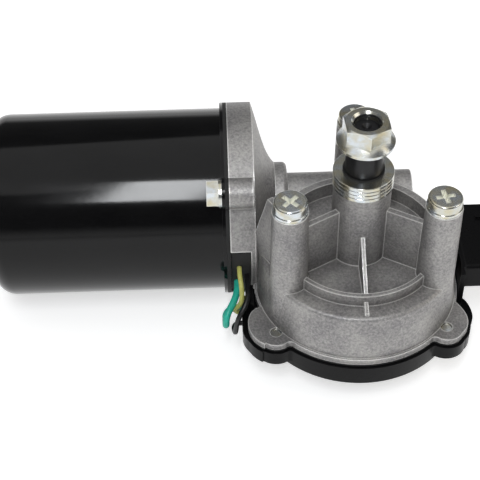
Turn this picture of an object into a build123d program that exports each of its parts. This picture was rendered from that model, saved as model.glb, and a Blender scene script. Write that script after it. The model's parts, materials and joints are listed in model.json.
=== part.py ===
from build123d import *
import os
from math import acos, atan, cos, degrees, pi, radians, sin, sqrt, tan

os.makedirs("parts", exist_ok=True)

# A two-speed wiper motor with a worm gearbox. Millimetres, +Z up.
# The origin is on the output shaft's axis, level with the tops of the three mounting bosses.
# The motor lies along X behind the output shaft, with its can towards -X.

# gear train
gear_module = 1.0
gear_teeth = 54
worm_pitch_radius = 4.9
gear_face = 7.2
pressure_angle = radians(20)
gear_backlash = 0.24
thread_side_gap = 0.04
tip_clearance = 0.2
worm_turns = 8

# levels
worm_drop = 35.6  # boss tops down to the worm's axis
joint_drop = 13.0  # worm axis down to the cover joint
gear_gap = 0.6  # gear to the housing floor

# gear housing
floor_thickness = 2.3
dome_wall = 2.7
gear_tip_gap = 0.7
dome_draft = 1.75
base_flange = 2.2
base_overhang = 0.55
tower_radius = 9.1
tower_wall = 1.5
tower_drop = 1.4
tube_wall = 1.63
worm_bore_radius = 6.4
tube_end_x = 21.4
tube_cap = 2.7
motor_flange_x = -41.26
motor_flange_width = 8.26
motor_flange_radius = 32.8
boss_circle_radius = 26.78
boss_radius = 5.7
boss_draft = 0.55
boss_angles = (90, 210, 330)
web_thickness = 2.0
gusset_thickness = 1.2
web_drop = 8.8
web_foot = (-33.5, 4.0)
web_top = -3.0
rim_outer_radius = 25.6
rim_width = 1.5
rim_height = 3.4
shoulder_drop = 0.8
back_rim_height = 5.5
back_rim_width = 2.6
ear_circle_radius = 34.5
ear_radius = 5.6
ear_angles = (-142.9, -37.1, 60, 120)

# motor
can_radius = 31.0
can_wall = 1.6
can_length = 78.5
can_corner = 6.0
lip_thickness = 1.05
lip_step = 1.85
gasket_thickness = 1.29
rear_boss_radius = 9.0
rear_boss_depth = 5.5
bolt_reach = 4.8  # bolt axis outside the can wall
bolt_ear_radius = 4.9
bolt_angles = (135, 315)
magnet_thickness = 6.4
magnet_length = 48.0
magnet_span = 140
air_gap = 0.6
core_length = 40.0
core_front_x = -68.0
slot_count = 12
shaft_radius = 4.0
journal_radius = 3.0
commutator_radius = 10.5
commutator_length = 13.0
commutator_front_x = -49.0
brush_width = 6.9
brush_thickness = 5.6
brush_length = 11.0
brush_gap = 0.3
brush_centre_x = -55.05
brush_angles = {"low": 90, "common": 270, "high": 30}
card_thickness = 2.0
window_low = -55.0
window_high = -30.0
bearing_outer_radius = 9.5
bearing_bore_radius = 4.0
bearing_width = 6.0
bearing_front_x = -22.6

# output shaft and what is on it
output_radius = 6.0
running_clearance = 0.05
press_clearance = 0.02
ring_radius = 9.44
ring_bore_radius = 6.5
ring_thickness = 1.4
ring_names = ("bearing_collar", "spacer_ring", "shim_washer", "top_ring")
nut_level = 15.2
nut_height = 7.8
nut_flange_radius = 8.9
nut_across_flats = 13.2
thread_radius = 4.0

# cover and connector
gasket_depth = 0.8
cover_skirt = 5.0
cover_overhang = 1.1
cover_drum_drop = 3.1
cover_floor = 1.8
cover_wall = 1.8
connector_front_y = -4.5
connector_back_y = 25.9
connector_top = -36.0
connector_height = 10.0
connector_joint_x = 35.4
connector_end_x = 58.0
shroud_wall = 1.3
shroud_depth = 14.0
terminal_count = 5
terminal_tip_x = 53.0

# fasteners
mount_screw_radius = 2.5
mount_screw_depth = 14.0
mount_head_radius = 5.29
mount_head_height = 3.2
mount_washer_radius = 5.55
mount_washer_thickness = 1.0
cover_screw_radius = 1.9
can_bolt_radius = 2.5
hole_clearance = 0.15
flat_gap = 0.1

# values worked out from the ones above
gear_pitch_radius = gear_module * gear_teeth / 2
centre_distance = gear_pitch_radius + worm_pitch_radius
gear_tip_radius = gear_pitch_radius + gear_module
worm_tip_radius = worm_pitch_radius + gear_module
worm_root_radius = worm_pitch_radius - gear_module - tip_clearance
worm_pitch = pi * gear_module
lead_angle = atan(gear_module / (2 * worm_pitch_radius))
worm_z = -worm_drop
joint_z = worm_z - joint_drop
gear_top = worm_z + gear_face / 2
gear_bottom = worm_z - gear_face / 2
ceiling_z = gear_top + gear_gap
floor_z = ceiling_z + floor_thickness
shoulder_z = floor_z - shoulder_drop
cavity_radius = gear_tip_radius + gear_tip_gap
dome_radius = cavity_radius + dome_wall
foot_radius = dome_radius + dome_draft
base_radius = foot_radius + base_overhang
tower_bore_radius = tower_radius - tower_wall
tower_top = -tower_drop
tube_radius = worm_bore_radius + tube_wall
worm_bore_end_x = tube_end_x - tube_cap
motor_flange_end_x = motor_flange_x + motor_flange_width
window_end_x = motor_flange_end_x - 1.6
can_front_x = motor_flange_x - gasket_thickness
can_inner_radius = can_radius - can_wall
lip_radius = can_radius + lip_step
can_rear_x = can_front_x - can_length
bolt_circle_radius = can_radius + bolt_reach
magnet_outer_radius = can_inner_radius - flat_gap
magnet_inner_radius = magnet_outer_radius - magnet_thickness
core_radius = magnet_inner_radius - air_gap
core_rear_x = core_front_x - core_length
core_middle_x = (core_front_x + core_rear_x) / 2
commutator_rear_x = commutator_front_x - commutator_length
bearing_rear_x = bearing_front_x - bearing_width
stack_top = tower_top + ring_thickness * len(ring_names)
cover_top = joint_z - gasket_depth
skirt_bottom = cover_top - cover_skirt
cover_bottom = skirt_bottom - cover_drum_drop
cover_inner_floor = cover_bottom + cover_floor
card_rear_x = brush_centre_x + brush_width / 2 + 0.6
box_end_radius = can_inner_radius - 0.8

motor_axis = Axis((0, centre_distance, worm_z), (1, 0, 0))
across_motor = Plane(origin=(0, centre_distance, worm_z), x_dir=(0, 1, 0), z_dir=(1, 0, 0))
along_motor = Plane(origin=(0, centre_distance, worm_z), x_dir=(1, 0, 0), z_dir=(0, -1, 0))
upright = Plane(origin=(0, 0, 0), x_dir=(1, 0, 0), z_dir=(0, -1, 0))


def save(piece, name):
    piece.part.label = name
    export_step(piece.part, f"parts/{name}.step")


def around(angle, radius):
    return (radius * cos(radians(angle)), radius * sin(radians(angle)))


def motor_disc(x, thickness, radius, hole=0.0, mode=Mode.ADD):
    """A disc or ring on the motor's axis, from x towards +X."""
    with BuildSketch(across_motor.offset(x)) as face:
        Circle(radius)
        if hole:
            Circle(hole, mode=Mode.SUBTRACT)
    extrude(face.sketch, amount=thickness, mode=mode)


def ring(z, thickness, radius, hole=0.0, mode=Mode.ADD):
    """A disc or ring on the output shaft's axis, from z upwards."""
    with BuildSketch(Plane.XY.offset(z)) as face:
        Circle(radius)
        if hole:
            Circle(hole, mode=Mode.SUBTRACT)
    extrude(face.sketch, amount=thickness, mode=mode)


def box_between(low, high, mode=Mode.ADD):
    """A block between two corners."""
    middle = [(a + b) / 2 for a, b in zip(low, high)]
    with Locations(tuple(middle)):
        Box(high[0] - low[0], high[1] - low[1], high[2] - low[2], mode=mode)


def round_holes(z, depth, centres, radius, mode=Mode.SUBTRACT):
    """Round holes, or round pins, at several centres, from z upwards."""
    with BuildSketch(Plane.XY.offset(z)) as face:
        with Locations(*centres):
            Circle(radius)
    extrude(face.sketch, amount=depth, mode=mode)


def motor_round_holes(x, depth, centres, radius, mode=Mode.SUBTRACT):
    """The same across the motor's axis, from x towards +X."""
    with BuildSketch(across_motor.offset(x)) as face:
        with Locations(*centres):
            Circle(radius)
    extrude(face.sketch, amount=depth, mode=mode)


def joint_outline(radius):
    """The gearbox's joint face: a circle with ears for the cover screws, the front two with wide shoulders."""
    grow = radius - base_radius
    with BuildSketch() as outline:
        Circle(radius)
        with Locations(*ear_centres):
            Circle(ear_radius + grow)
        for centre, shoulder in zip(ear_centres, ear_shoulders):
            points = []
            for x, y in shoulder:
                reach = sqrt((x - centre[0]) ** 2 + (y - centre[1]) ** 2)
                points.append((x + grow * (x - centre[0]) / reach, y + grow * (y - centre[1]) / reach))
            with BuildLine():
                edge = Spline(*points)
                Polyline(edge @ 1, centre, (centre[0] * 0.8, -6.0), edge @ 0)
            make_face()
        corners = [v for v in outline.vertices() if abs(sqrt(v.X ** 2 + v.Y ** 2) - radius) < 0.01]
        fillet([v for v in corners if v.Y < -22 or v.Y > 20], 1.5)
    return outline.sketch


def bolt_ears(radius):
    """Two rounded ears for the can's bolts, across the motor."""
    with BuildSketch() as outline:
        for angle in bolt_angles:
            middle = around(angle, bolt_circle_radius - 6)
            SlotCenterPoint(middle, around(angle, bolt_circle_radius), 2 * radius)
    return outline.sketch


boss_centres = [around(angle, boss_circle_radius) for angle in boss_angles]
ear_centres = [around(angle, ear_circle_radius) for angle in ear_angles]
ear_shoulders = (
    [(-32.2, -9.6), (-34.9, -11.4), (-36.2, -14.6), (-36.1, -19.2), (-34.3, -23.0), (-31.4, -25.6)],
    [(32.2, -10.2), (33.9, -13.2), (34.9, -16.6), (34.7, -19.8), (32.6, -23.3)],
)
bolt_centres = [around(angle, bolt_circle_radius) for angle in bolt_angles]


# ---------------------------------------------------------------- gear housing


def rim_arc(start_angle, end_angle, outer, width, height):
    """A raised rim on the dome's top between two angles."""
    with BuildSketch(Plane.XY.offset(shoulder_z - 0.6)) as face:
        with BuildLine():
            a = CenterArc((0, 0), outer, start_angle, end_angle - start_angle)
            b = CenterArc((0, 0), outer - width, start_angle, end_angle - start_angle)
            Line(a @ 0, b @ 0)
            Line(a @ 1, b @ 1)
        make_face()
    extrude(face.sketch, amount=height + shoulder_drop + 0.6)


with BuildPart() as gear_housing:
    # joint flange and dome
    with BuildSketch(Plane.XY.offset(joint_z)):
        add(joint_outline(base_radius))
    extrude(amount=base_flange)
    with BuildSketch(Plane.XY.offset(joint_z + 0.5)):
        Circle(foot_radius)
    with BuildSketch(Plane.XY.offset(shoulder_z)):
        Circle(dome_radius)
    loft()
    fillet(gear_housing.edges().filter_by(GeomType.CIRCLE).group_by(Axis.Z)[-1], 1.3)
    ring(shoulder_z - 1, shoulder_drop + 1, rim_outer_radius)

    # block between the dome and the motor flange, and the slanting web from the front boss down to it
    box_between((motor_flange_end_x - 1, 3.0, joint_z + 0.5), (-20.0, 28.0, worm_z + 3.5))
    left_boss = boss_centres[1]
    run = sqrt((left_boss[0] - web_foot[0]) ** 2 + (left_boss[1] - web_foot[1]) ** 2)
    to_foot = ((web_foot[0] - left_boss[0]) / run, (web_foot[1] - left_boss[1]) / run)
    with BuildSketch(Plane(origin=(*left_boss, 0), x_dir=(*to_foot, 0), z_dir=(to_foot[1], -to_foot[0], 0))):
        with BuildLine():
            Polyline(
                (0, joint_z + 0.5),
                (0, web_top),
                (run * 0.54, web_top),
                (run * 0.90, worm_z + 12.3),
                (run, worm_z + 6),
                (run, joint_z + 0.5),
                close=True,
            )
        make_face()
    extrude(amount=web_thickness / 2, both=True)

    # motor flange, its steep neck, the bearing boss and the worm tube
    with BuildSketch(along_motor):
        with BuildLine():
            flange = Polyline(
                (motor_flange_x, 0),
                (motor_flange_x, motor_flange_radius),
                (motor_flange_end_x, motor_flange_radius),
                (motor_flange_end_x + 0.9, motor_flange_radius - 3.2),
            )
            neck = Spline(
                flange @ 1,
                (bearing_rear_x - 0.2, 18.0),
                (bearing_front_x - 3.2, bearing_outer_radius + 2.8),
                tangents=((0.3, -1), (1, -1.1)),
            )
            Polyline(
                neck @ 1,
                (bearing_front_x - 2.9, bearing_outer_radius + 2.4),
                (bearing_front_x + 1.4, bearing_outer_radius + 2.4),
                (bearing_front_x + 1.4, tube_radius),
                (tube_end_x, tube_radius),
                (tube_end_x, 0),
                (motor_flange_x, 0),
            )
        make_face()
        outer_corners = [v for v in vertices() if v.X > bearing_front_x + 1 and v.Y > tube_radius - 0.1]
        boss_corner = [v for v in outer_corners if v.Y > tube_radius + 1]
        tube_corner = [v for v in outer_corners if v.X > tube_end_x - 0.1]
        fillet(boss_corner, 1.6)
        fillet(tube_corner, 2.6)
    revolve(axis=motor_axis)
    with BuildSketch(across_motor.offset(motor_flange_x)):
        add(bolt_ears(bolt_ear_radius))
    extrude(amount=motor_flange_width - 0.6)

    # mounting bosses, tower, webs, gusset and rims
    boss_height = -joint_z - base_flange
    with BuildSketch(Plane.XY.offset(-boss_height)):
        with Locations(*boss_centres):
            Circle(boss_radius + boss_draft)
    extrude(amount=boss_height, taper=degrees(atan(boss_draft / boss_height)))
    ring(floor_z - 1, tower_top - floor_z + 1, tower_radius)
    for angle in boss_angles:
        turn = radians(angle)
        web = Plane(origin=(0, 0, 0), x_dir=(cos(turn), sin(turn), 0), z_dir=(sin(turn), -cos(turn), 0))
        with BuildSketch(web):
            with Locations(((tower_bore_radius + boss_circle_radius) / 2, (floor_z - 1 - web_drop) / 2)):
                Rectangle(boss_circle_radius - tower_bore_radius, -floor_z + 1 - web_drop)
        extrude(amount=web_thickness / 2, both=True)
    with BuildSketch(Plane(origin=(0, 0, 0), x_dir=(0, -1, 0), z_dir=(-1, 0, 0))):
        with BuildLine():
            Polyline(
                (tower_radius - 1, shoulder_z - 1),
                (dome_radius - 1.4, shoulder_z - 1),
                (dome_radius - 1.9, shoulder_z + 0.6),
                (rim_outer_radius - 0.3, floor_z + 1.1),
                (rim_outer_radius - rim_width, floor_z + rim_height - 0.4),
                (tower_radius - 1, floor_z + 13.4),
                close=True,
            )
        make_face()
    extrude(amount=gusset_thickness / 2, both=True)
    rim_arc(-146, -34, rim_outer_radius, rim_width, rim_height)
    rim_arc(-20, 80, rim_outer_radius + 2.2, back_rim_width, back_rim_height)
    rim_arc(100, 200, rim_outer_radius + 2.2, back_rim_width, back_rim_height)

    # the gear's chamber, the shaft's bore, the worm's bore and the motor's hollow
    ring(joint_z - 1, ceiling_z - joint_z + 1, cavity_radius, mode=Mode.SUBTRACT)
    ring(ceiling_z - 1, tower_top - ceiling_z + 2, tower_bore_radius, mode=Mode.SUBTRACT)
    motor_disc(bearing_front_x - 1, worm_bore_end_x - bearing_front_x + 1, worm_bore_radius, mode=Mode.SUBTRACT)
    motor_disc(bearing_rear_x - 2, bearing_width + 2, bearing_outer_radius, mode=Mode.SUBTRACT)
    with BuildSketch(along_motor):
        with BuildLine():
            Polyline(
                (motor_flange_x - 1, 0),
                (motor_flange_x - 1, can_inner_radius),
                (motor_flange_x + 5.0, can_inner_radius),
                (bearing_rear_x - 1.5, 14.0),
                (bearing_rear_x - 1.5, 0),
                close=True,
            )
        make_face()
    revolve(axis=motor_axis, mode=Mode.SUBTRACT)

    # the window for the leads, open to the joint with the can
    box_between((motor_flange_x - 1, -6, window_low), (window_end_x, 12, window_high), mode=Mode.SUBTRACT)

    # screw holes
    round_holes(-mount_screw_depth - 1, mount_screw_depth + 2, boss_centres, mount_screw_radius + press_clearance)
    round_holes(joint_z - 1, base_flange + 1, ear_centres, cover_screw_radius + press_clearance)
    motor_round_holes(motor_flange_x - 1, motor_flange_width + 2, bolt_centres, can_bolt_radius + press_clearance)
save(gear_housing, "gear_housing")


# ---------------------------------------------------------------- motor can and field

with BuildPart() as motor_can:
    with BuildSketch(along_motor):
        with BuildLine():
            Polyline(
                (can_front_x, 0),
                (can_front_x, lip_radius),
                (can_front_x - lip_thickness, lip_radius),
                (can_front_x - lip_thickness, can_radius),
                (can_rear_x, can_radius),
                (can_rear_x, rear_boss_radius),
                (can_rear_x - rear_boss_depth, rear_boss_radius),
                (can_rear_x - rear_boss_depth, 0),
                close=True,
            )
        make_face()
        corner = [v for v in vertices() if abs(v.X - can_rear_x) < 0.01 and v.Y > rear_boss_radius + 1]
        fillet(corner, can_corner)
        boss_edge = [v for v in vertices() if abs(v.X - can_rear_x + rear_boss_depth) < 0.01 and v.Y > 1]
        fillet(boss_edge, 1.6)
    revolve(axis=motor_axis)
    with BuildSketch(along_motor):
        with BuildLine():
            Polyline(
                (can_front_x + 1, 0),
                (can_front_x + 1, can_inner_radius),
                (can_rear_x + can_wall, can_inner_radius),
                (can_rear_x + can_wall, rear_boss_radius - can_wall),
                (can_rear_x - rear_boss_depth + can_wall, rear_boss_radius - can_wall),
                (can_rear_x - rear_boss_depth + can_wall, 0),
                close=True,
            )
        make_face()
        corner = [v for v in vertices() if abs(v.X - can_rear_x - can_wall) < 0.01 and v.Y > rear_boss_radius]
        fillet(corner, can_corner - can_wall)
    revolve(axis=motor_axis, mode=Mode.SUBTRACT)
    with BuildSketch(across_motor.offset(can_front_x - lip_thickness)):
        add(bolt_ears(bolt_ear_radius))
        Circle(can_inner_radius + 0.2, mode=Mode.SUBTRACT)
        with Locations(*bolt_centres):
            Circle(can_bolt_radius + hole_clearance, mode=Mode.SUBTRACT)
    extrude(amount=lip_thickness)
save(motor_can, "motor_can")

with BuildPart() as can_gasket:
    with BuildSketch(across_motor.offset(can_front_x)):
        Circle(motor_flange_radius)
        add(bolt_ears(bolt_ear_radius))
        Circle(can_inner_radius, mode=Mode.SUBTRACT)
        with Locations(*bolt_centres):
            Circle(can_bolt_radius + hole_clearance, mode=Mode.SUBTRACT)
    extrude(amount=gasket_thickness)
save(can_gasket, "can_gasket")

with BuildPart() as magnets:
    for middle in (90, 270):
        with BuildSketch(across_motor.offset(core_middle_x - magnet_length / 2)):
            with BuildLine():
                first = middle - magnet_span / 2
                a = CenterArc((0, 0), magnet_outer_radius, first, magnet_span)
                b = CenterArc((0, 0), magnet_inner_radius, first, magnet_span)
                Line(a @ 0, b @ 0)
                Line(a @ 1, b @ 1)
            make_face()
        extrude(amount=magnet_length)
save(magnets, "magnets")

with BuildPart() as magnet_clips:
    clip_span = 180 - magnet_span - 1.0
    for middle in (0, 180):
        with BuildSketch(across_motor.offset(core_middle_x - magnet_length / 2 + 6)):
            with BuildLine():
                a = CenterArc((0, 0), magnet_outer_radius, middle - clip_span / 2, clip_span)
                b = CenterArc((0, 0), magnet_outer_radius - 1.2, middle - clip_span / 2, clip_span)
                Line(a @ 0, b @ 0)
                Line(a @ 1, b @ 1)
            make_face()
        extrude(amount=magnet_length - 12)
save(magnet_clips, "magnet_clips")


# ---------------------------------------------------------------- armature

rear_pocket_x = can_rear_x - rear_boss_depth + can_wall
shaft_rear_x = rear_pocket_x + 1.3
shaft_front_x = worm_bore_end_x - 1.6
journal_front_x = shaft_front_x - 4.6
# the helix starts above the axis, a quarter of a turn before it faces the gear
thread_x = -(worm_turns / 2 + 0.25) * worm_pitch

with BuildPart() as armature_shaft:
    with BuildSketch(along_motor):
        with BuildLine():
            Polyline(
                (shaft_rear_x, 0),
                (shaft_rear_x, journal_radius),
                (core_rear_x - 5.0, journal_radius),
                (core_rear_x - 5.0, shaft_radius),
                (bearing_front_x, shaft_radius),
                (bearing_front_x, worm_root_radius),
                (journal_front_x, worm_root_radius),
                (journal_front_x, journal_radius),
                (shaft_front_x, journal_radius),
                (shaft_front_x, 0),
                close=True,
            )
        make_face()
    revolve(axis=motor_axis)
    with BuildLine():
        thread_path = Helix(worm_pitch, worm_turns * worm_pitch, worm_pitch_radius,
                            center=(thread_x, centre_distance, worm_z), direction=(1, 0, 0))
    thread_start = thread_path @ 0
    outward = thread_start - Vector(thread_x, centre_distance, worm_z)
    half_pitch_width = (worm_pitch / 4 - thread_side_gap) * cos(lead_angle)
    slope = tan(pressure_angle)
    root_depth = worm_pitch_radius - worm_root_radius + 0.15
    with BuildSketch(Plane(origin=thread_start, x_dir=outward, z_dir=thread_path % 0)):
        with BuildLine():
            Polyline(
                (-root_depth, -half_pitch_width - root_depth * slope),
                (gear_module, -half_pitch_width + gear_module * slope),
                (gear_module, half_pitch_width - gear_module * slope),
                (-root_depth, half_pitch_width + root_depth * slope),
                close=True,
            )
        make_face()
    sweep(path=thread_path, is_frenet=True)
save(armature_shaft, "armature_shaft")
print("thread faces away from the axis at", outward)

with BuildPart() as armature_core:
    with BuildSketch(across_motor.offset(core_rear_x)):
        Circle(core_radius)
        Circle(shaft_radius + press_clearance, mode=Mode.SUBTRACT)
        with PolarLocations(core_radius - 4.6, slot_count):
            SlotOverall(7.2, 3.6, mode=Mode.SUBTRACT)
        with PolarLocations(core_radius - 0.4, slot_count):
            Rectangle(2.2, 1.6, mode=Mode.SUBTRACT)
    extrude(amount=core_length)
save(armature_core, "armature_core")

end_turn = 4.6
with BuildPart() as windings:
    with BuildSketch(across_motor.offset(core_rear_x)):
        with PolarLocations(core_radius - 4.6, slot_count):
            SlotOverall(7.0, 3.4)
    extrude(amount=core_length)
    for x in (core_rear_x - end_turn, core_front_x):
        motor_disc(x, end_turn, core_radius - 1.4, hole=shaft_radius + 3.4)
    fillet(windings.edges().filter_by(GeomType.CIRCLE).group_by(Axis.X)[0], 1.4)
    fillet(windings.edges().filter_by(GeomType.CIRCLE).group_by(Axis.X)[-1], 1.4)
save(windings, "windings")

with BuildPart() as commutator_hub:
    motor_disc(commutator_rear_x - 0.4, commutator_length + 0.6, commutator_radius - 1.6,
               hole=shaft_radius + press_clearance)
save(commutator_hub, "commutator_hub")

with BuildPart() as commutator_bars:
    with BuildSketch(across_motor.offset(commutator_rear_x)):
        Circle(commutator_radius)
        Circle(commutator_radius - 1.6 + press_clearance, mode=Mode.SUBTRACT)
        with PolarLocations(commutator_radius, slot_count):
            Rectangle(5, 0.5, mode=Mode.SUBTRACT)
    extrude(amount=commutator_length)
save(commutator_bars, "commutator_bars")


# ---------------------------------------------------------------- motor bearings

with BuildPart() as bearing_outer_race:
    motor_disc(bearing_rear_x, bearing_width, bearing_outer_radius - press_clearance, hole=bearing_outer_radius - 1.5)
save(bearing_outer_race, "bearing_outer_race")

with BuildPart() as bearing_inner_race:
    motor_disc(bearing_rear_x, bearing_width, bearing_bore_radius + 1.6, hole=bearing_bore_radius + press_clearance)
save(bearing_inner_race, "bearing_inner_race")

ball_circle = (bearing_outer_radius - 1.5 + bearing_bore_radius + 1.6) / 2
ball_radius = (bearing_outer_radius - 1.5 - bearing_bore_radius - 1.6) / 2 - 0.06
with BuildPart() as bearing_balls:
    for k in range(8):
        y, z = around(k * 45, ball_circle)
        with Locations((bearing_rear_x + bearing_width / 2, centre_distance + y, worm_z + z)):
            Sphere(ball_radius)
save(bearing_balls, "bearing_balls")

with BuildPart() as bearing_cage:
    motor_disc(bearing_rear_x + 0.9, bearing_width - 1.8, ball_circle + 0.6, hole=ball_circle - 0.6)
    for k in range(8):
        y, z = around(k * 45, ball_circle)
        with Locations((bearing_rear_x + bearing_width / 2, centre_distance + y, worm_z + z)):
            Sphere(ball_radius + 0.08, mode=Mode.SUBTRACT)
save(bearing_cage, "bearing_cage")

with BuildPart() as bearing_retainer:
    motor_disc(bearing_rear_x - 1.2, 1.2, bearing_outer_radius - press_clearance, hole=bearing_outer_radius - 1.8)
save(bearing_retainer, "bearing_retainer")

with BuildPart() as worm_end_bush:
    # it starts past the run-out of the worm's thread
    motor_disc(journal_front_x + 0.7, 3.5, worm_bore_radius - press_clearance,
               hole=journal_radius + running_clearance)
save(worm_end_bush, "worm_end_bush")

with BuildPart() as thrust_button:
    motor_disc(shaft_front_x + flat_gap, worm_bore_end_x - shaft_front_x - flat_gap, worm_bore_radius - 1.4)
save(thrust_button, "thrust_button")

rear_bush_radius = rear_boss_radius - can_wall - press_clearance
with BuildPart() as rear_bush:
    motor_disc(rear_pocket_x + 1.2, rear_boss_depth - 1.4, rear_bush_radius, hole=journal_radius + running_clearance)
    rounded = rear_bush.edges().filter_by(GeomType.CIRCLE).filter_by(lambda e: e.radius > journal_radius + 1)
    fillet(rounded, 1.2)
save(rear_bush, "rear_bush")

with BuildPart() as rear_thrust_pad:
    motor_disc(rear_pocket_x, 1.1, rear_bush_radius - 1.0)
save(rear_thrust_pad, "rear_thrust_pad")

with BuildPart() as bush_retainer:
    retainer_x = rear_pocket_x + rear_boss_depth
    motor_disc(retainer_x, 0.8, rear_bush_radius + 4.0, hole=journal_radius + 1.2)
save(bush_retainer, "bush_retainer")


# ---------------------------------------------------------------- brush gear

with BuildPart() as brush_card:
    motor_disc(card_rear_x, card_thickness, can_inner_radius - flat_gap, hole=commutator_radius + 2.6)
save(brush_card, "brush_card")

box_start_radius = commutator_radius + 2.0
box_wall = 0.5
box_gap = 0.1


def brush_plane(angle):
    """A plane across a brush's own line of travel: x along the motor, z outwards."""
    y, z = cos(radians(angle)), sin(radians(angle))
    return Plane(origin=(brush_centre_x, centre_distance, worm_z), x_dir=(1, 0, 0), z_dir=(0, y, z))


with BuildPart() as brush_boxes:
    for angle in brush_angles.values():
        plane = brush_plane(angle)
        with BuildSketch(plane.offset(box_start_radius)):
            Rectangle(brush_width + 2 * (box_gap + box_wall), brush_thickness + 2 * (box_gap + box_wall))
            Rectangle(brush_width + 2 * box_gap, brush_thickness + 2 * box_gap, mode=Mode.SUBTRACT)
        extrude(amount=box_end_radius - box_start_radius)
        with BuildSketch(plane.offset(box_end_radius - box_wall)):
            Rectangle(brush_width + 2 * (box_gap + box_wall), brush_thickness + 2 * (box_gap + box_wall))
        extrude(amount=box_wall)
save(brush_boxes, "brush_boxes")

brush_back_radius = commutator_radius + brush_gap + brush_length
for speed, angle in brush_angles.items():
    plane = brush_plane(angle)
    with BuildPart() as brush:
        with BuildSketch(plane.offset(commutator_radius - 1)):
            Rectangle(brush_width, brush_thickness)
        extrude(amount=brush_back_radius - commutator_radius + 1)
        motor_disc(brush_centre_x - brush_width, 2 * brush_width, commutator_radius + brush_gap, mode=Mode.SUBTRACT)
    save(brush, f"brush_{speed}")

    spring_start = brush_back_radius + flat_gap
    spring_length = box_end_radius - box_wall - flat_gap - spring_start
    with BuildPart() as spring:
        with BuildLine():
            centre = plane.origin + plane.z_dir * (spring_start + 0.45)
            coil = Helix((spring_length - 0.9) / 4, spring_length - 0.9, 2.0,
                         center=centre, direction=plane.z_dir)
        with BuildSketch(Plane(origin=coil @ 0, z_dir=coil % 0)):
            Circle(0.35)
        sweep(path=coil, is_frenet=True)
    save(spring, f"brush_spring_{speed}")

with BuildPart() as choke_coils:
    for angle in (215, 325):
        y, z = around(angle, 21.0)
        with BuildSketch(across_motor.offset(card_rear_x - 9.0)):
            with Locations((y, z)):
                Circle(2.6)
        extrude(amount=9.0)
save(choke_coils, "choke_coils")

leads = {
    "green": {"radius": 1.15, "exit": (-39.3, -45.6), "inlet": (-4.0, -52.6),
              "loop": [(-39.3, -4.0, -45.6), (-43.4, -12.0, -48.0), (-43.6, -12.4, -53.4), (-43.6, -4.0, -52.6)]},
    "yellow": {"radius": 0.8, "exit": (-38.6, -37.6), "inlet": (-7.4, -51.4),
               "loop": [(-38.6, -3.2, -37.6), (-38.0, -7.4, -40.0), (-38.1, -8.8, -45.0), (-41.6, -7.4, -51.4)]},
    "black": {"radius": 0.85, "exit": (-36.1, -41.8), "inlet": (-10.6, -53.0),
              "loop": [(-36.1, -10.9, -41.8), (-39.8, -15.0, -46.3), (-40.6, -15.2, -53.6), (-41.2, -10.6, -53.0)]},
}
lead_clearance = 0.05
lead_turn_y = 10.0
lead_end_x = -27.0

with BuildPart() as lead_grommet:
    with BuildSketch(across_motor.offset(motor_flange_x + flat_gap)):
        Circle(motor_flange_radius - 0.9)
        Circle(can_inner_radius - 1.0, mode=Mode.SUBTRACT)
        low = window_low - worm_z + flat_gap
        high = window_high - worm_z - flat_gap
        with Locations((-centre_distance, (low + high) / 2)):
            Rectangle(28, high - low, mode=Mode.INTERSECT)
    extrude(amount=window_end_x - motor_flange_x - 2 * flat_gap)
    for lead in leads.values():
        with BuildSketch(Plane(origin=(0, lead_turn_y, 0), x_dir=(1, 0, 0), z_dir=(0, -1, 0))):
            with Locations(lead["exit"]):
                Circle(lead["radius"] + lead_clearance)
        extrude(amount=14, mode=Mode.SUBTRACT)
save(lead_grommet, "lead_grommet")


# ---------------------------------------------------------------- output shaft and gear

groove_low = tower_top + ring_thickness + 0.15
groove_height = ring_thickness - 0.3
shaft_foot = gear_bottom - 3.4
shaft_end = nut_level + nut_height - 2.0
taper_top = nut_level - flat_gap

with BuildPart() as output_shaft:
    with BuildSketch(upright):
        with BuildLine():
            Polyline(
                (0, shaft_foot),
                (output_radius, shaft_foot),
                (output_radius, groove_low),
                (output_radius - 0.6, groove_low),
                (output_radius - 0.6, groove_low + groove_height),
                (output_radius, groove_low + groove_height),
                (output_radius, stack_top + 2.0),
                (output_radius - 0.25, taper_top),
                (thread_radius, taper_top),
                (thread_radius, shaft_end - 0.6),
                (thread_radius - 0.6, shaft_end),
                (1.6, shaft_end),
                (0.3, shaft_end - 0.9),
                (0, shaft_end - 0.9),
                close=True,
            )
        make_face()
    revolve(axis=Axis.Z)
save(output_shaft, "output_shaft")


def involute(angle):
    return tan(angle) - angle


def tooth_half_angle(radius):
    """Half the angle that a gear tooth takes up at this radius."""
    base = gear_pitch_radius * cos(pressure_angle)
    pitch_half = (pi * gear_module / 2 - gear_backlash) / (2 * gear_pitch_radius)
    return pitch_half + involute(pressure_angle) - involute(acos(base / radius))


def tooth_outline(twist):
    """The gear's outline, with the gap between two teeth at the worm, turned by twist."""
    root_radius = gear_pitch_radius - gear_module - tip_clearance
    points = []
    for k in range(gear_teeth):
        middle = pi / 2 + (k + 0.5) * 2 * pi / gear_teeth + twist
        for radius, side in ((root_radius, -1), (gear_tip_radius, -1), (gear_tip_radius, 1), (root_radius, 1)):
            turn = middle + side * tooth_half_angle(radius)
            points.append((radius * cos(turn), radius * sin(turn)))
    return points


gear_rim_inner = gear_pitch_radius - 4.6
gear_hub_radius = output_radius + 4.5
gear_web_top = worm_z
half_twist = tan(lead_angle) * gear_face / 2 / gear_pitch_radius

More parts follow.
